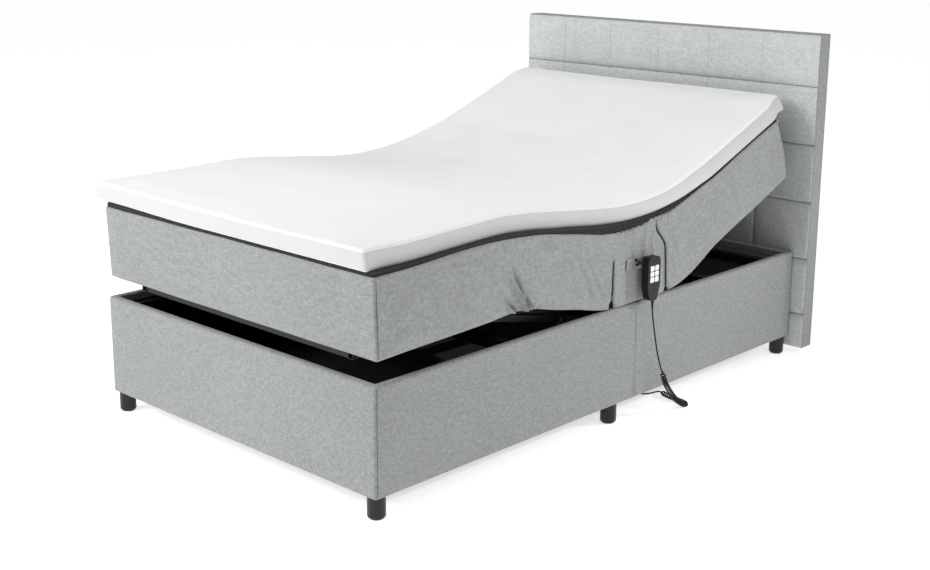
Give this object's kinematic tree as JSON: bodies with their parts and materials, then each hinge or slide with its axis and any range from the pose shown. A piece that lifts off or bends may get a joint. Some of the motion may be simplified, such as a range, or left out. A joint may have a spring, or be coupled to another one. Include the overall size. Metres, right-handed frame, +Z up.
{
  "type": "motorised box-spring bed",
  "caption": "Upholstered box-spring bed with a motor-adjusted back and leg section, loose topper, quilted headboard and corded handset.",
  "frame": {"origin": "centre of the footprint of bed and headboard, on the floor", "axes": "+X across the bed to the handset side, +Y along the bed to the headboard, +Z up"},
  "size_m": [1.326, 2.07, 1.127],
  "materials": {
    "grey_fabric": "woven, light heathered grey",
    "topper_fabric": "smooth white knitted cover",
    "black_cloth": "thin black nonwoven",
    "foam": "open foam",
    "plywood": "raw",
    "chipboard": "raw",
    "frame_steel": "satin powder coat",
    "pin_steel": "plain",
    "rod_steel": "ground",
    "leg_paint": "painted black, satin",
    "felt": "felt",
    "bush_plastic": "moulded",
    "black_plastic": "fine moulded grain",
    "white_buttons": "soft touch",
    "cable": "smooth",
    "roller_rubber": "moulded"
  },
  "bodies": {
    "base": {"foot_board": "chipboard", "head_board": "chipboard", "side_board_left": "chipboard", "side_board_right": "chipboard", "base_cover": "grey_fabric", "corner_blocks": "chipboard", "dust_cover": "black_cloth", "legs": "leg_paint", "leg_glides": "felt", "frame_rails": "frame_steel", "frame_cross_tubes": "frame_steel", "hinge_brackets": "frame_steel", "hinge_pins": "pin_steel", "torque_tube_bushes": "bush_plastic", "seat_board": "plywood", "seat_core": "foam", "seat_cover": "grey_fabric", "seat_topper": "topper_fabric", "back_actuator": "black_plastic", "leg_actuator": "black_plastic", "control_box": "black_plastic", "headboard_board": "chipboard", "headboard_quilt": "grey_fabric", "headboard_border": "grey_fabric", "handset_front": "black_plastic", "handset_back": "black_plastic", "handset_strap": "grey_fabric", "cord_upper": "cable", "cord_coil": "cable", "cord_lower": "cable", "cord_grommet": "black_plastic"},
    "back": {"back_frame": "frame_steel", "back_board": "plywood", "back_core": "foam", "back_cover": "grey_fabric"},
    "back_topper": {"back_topper": "topper_fabric"},
    "thigh": {"thigh_frame": "frame_steel", "thigh_board": "plywood", "thigh_core": "foam", "thigh_cover": "grey_fabric", "thigh_topper": "topper_fabric"},
    "calf": {"calf_frame": "frame_steel", "calf_board": "plywood", "calf_core": "foam", "calf_cover": "grey_fabric", "calf_topper": "topper_fabric", "calf_pins": "pin_steel"},
    "calf_links": {"calf_links": "frame_steel"},
    "back_lift_arm": {"back_lift_arm": "frame_steel"},
    "thigh_lift_arm": {"thigh_lift_arm": "frame_steel"},
    "back_rollers": {"back_rollers": "roller_rubber"},
    "thigh_rollers": {"thigh_rollers": "roller_rubber"},
    "back_rod": {"back_actuator_rod": "rod_steel"},
    "leg_rod": {"leg_actuator_rod": "rod_steel"},
    "button_1": {"button_1": "white_buttons"},
    "button_2": {"button_2": "white_buttons"},
    "button_3": {"button_3": "white_buttons"},
    "button_4": {"button_4": "white_buttons"},
    "button_5": {"button_5": "white_buttons"},
    "button_6": {"button_6": "white_buttons"}
  },
  "joints": [
    {"name": "back_lift", "type": "hinge", "parent": "base", "child": "back", "pos_m": [0, 0.215, 0.358], "axis": [1, 0, 0], "range_deg": [-21.5, 33.5]},
    {"name": "topper_creep", "type": "slide", "parent": "back", "child": "back_topper", "axis": [0, 0.9304, 0.3665], "range_m": [-0.08906, 0.13849]},
    {"name": "thigh_lift", "type": "hinge", "parent": "base", "child": "thigh", "pos_m": [0, -0.085, 0.358], "axis": [-1, 0, 0], "range_deg": [-11.5, 18.5]},
    {"name": "knee_fold", "type": "hinge", "parent": "thigh", "child": "calf", "pos_m": [0, -0.46521, 0.43535], "axis": [-1, 0, 0], "range_deg": [-21.92, 13.7]},
    {"name": "link_swing", "type": "hinge", "parent": "base", "child": "calf_links", "pos_m": [0, -0.219, 0.358], "axis": [-1, 0, 0], "range_deg": [-12.24, 19.57]},
    {"name": "back_arm_turn", "type": "hinge", "parent": "base", "child": "back_lift_arm", "pos_m": [0, 0.153, 0.322], "axis": [1, 0, 0], "range_deg": [-17.53, 27.2]},
    {"name": "thigh_arm_turn", "type": "hinge", "parent": "base", "child": "thigh_lift_arm", "pos_m": [0, -0.023, 0.322], "axis": [-1, 0, 0], "range_deg": [-9.05, 14.45]},
    {"name": "back_roller_spin", "type": "hinge", "parent": "back_lift_arm", "child": "back_rollers", "pos_m": [0, 0.49688, 0.42852], "axis": [1, 0, 0], "continuous": true},
    {"name": "thigh_roller_spin", "type": "hinge", "parent": "thigh_lift_arm", "child": "thigh_rollers", "pos_m": [0, -0.31957, 0.36725], "axis": [1, 0, 0], "continuous": true},
    {"name": "back_rod_slide", "type": "slide", "parent": "base", "child": "back_rod", "axis": [0, 1, 0], "range_m": [-0.02814, 0.04357]},
    {"name": "leg_rod_slide", "type": "slide", "parent": "base", "child": "leg_rod", "axis": [0, -1, 0], "range_m": [-0.01424, 0.0226]},
    {"name": "button_1_press", "type": "slide", "parent": "base", "child": "button_1", "axis": [-1, 0, 0], "range_m": [0, 0.001], "stiffness_N_per_m": 400, "springref_m": -0.0005},
    {"name": "button_2_press", "type": "slide", "parent": "base", "child": "button_2", "axis": [-1, 0, 0], "range_m": [0, 0.001], "stiffness_N_per_m": 400, "springref_m": -0.0005},
    {"name": "button_3_press", "type": "slide", "parent": "base", "child": "button_3", "axis": [-1, 0, 0], "range_m": [0, 0.001], "stiffness_N_per_m": 400, "springref_m": -0.0005},
    {"name": "button_4_press", "type": "slide", "parent": "base", "child": "button_4", "axis": [-1, 0, 0], "range_m": [0, 0.001], "stiffness_N_per_m": 400, "springref_m": -0.0005},
    {"name": "button_5_press", "type": "slide", "parent": "base", "child": "button_5", "axis": [-1, 0, 0], "range_m": [0, 0.001], "stiffness_N_per_m": 400, "springref_m": -0.0005},
    {"name": "button_6_press", "type": "slide", "parent": "base", "child": "button_6", "axis": [-1, 0, 0], "range_m": [0, 0.001], "stiffness_N_per_m": 400, "springref_m": -0.0005}
  ],
  "couplings": [
    {"joint": "topper_creep", "follows": "back_lift", "m_per_rad": 0.236},
    {"joint": "knee_fold", "follows": "thigh_lift", "ratio": -1.1739},
    {"joint": "link_swing", "follows": "thigh_lift", "ratio": 1.0469},
    {"joint": "back_arm_turn", "follows": "back_lift", "ratio": 0.806},
    {"joint": "thigh_arm_turn", "follows": "thigh_lift", "ratio": 0.77},
    {"joint": "back_rod_slide", "follows": "back_lift", "m_per_rad": 0.07367},
    {"joint": "leg_rod_slide", "follows": "thigh_lift", "m_per_rad": 0.06845}
  ]
}
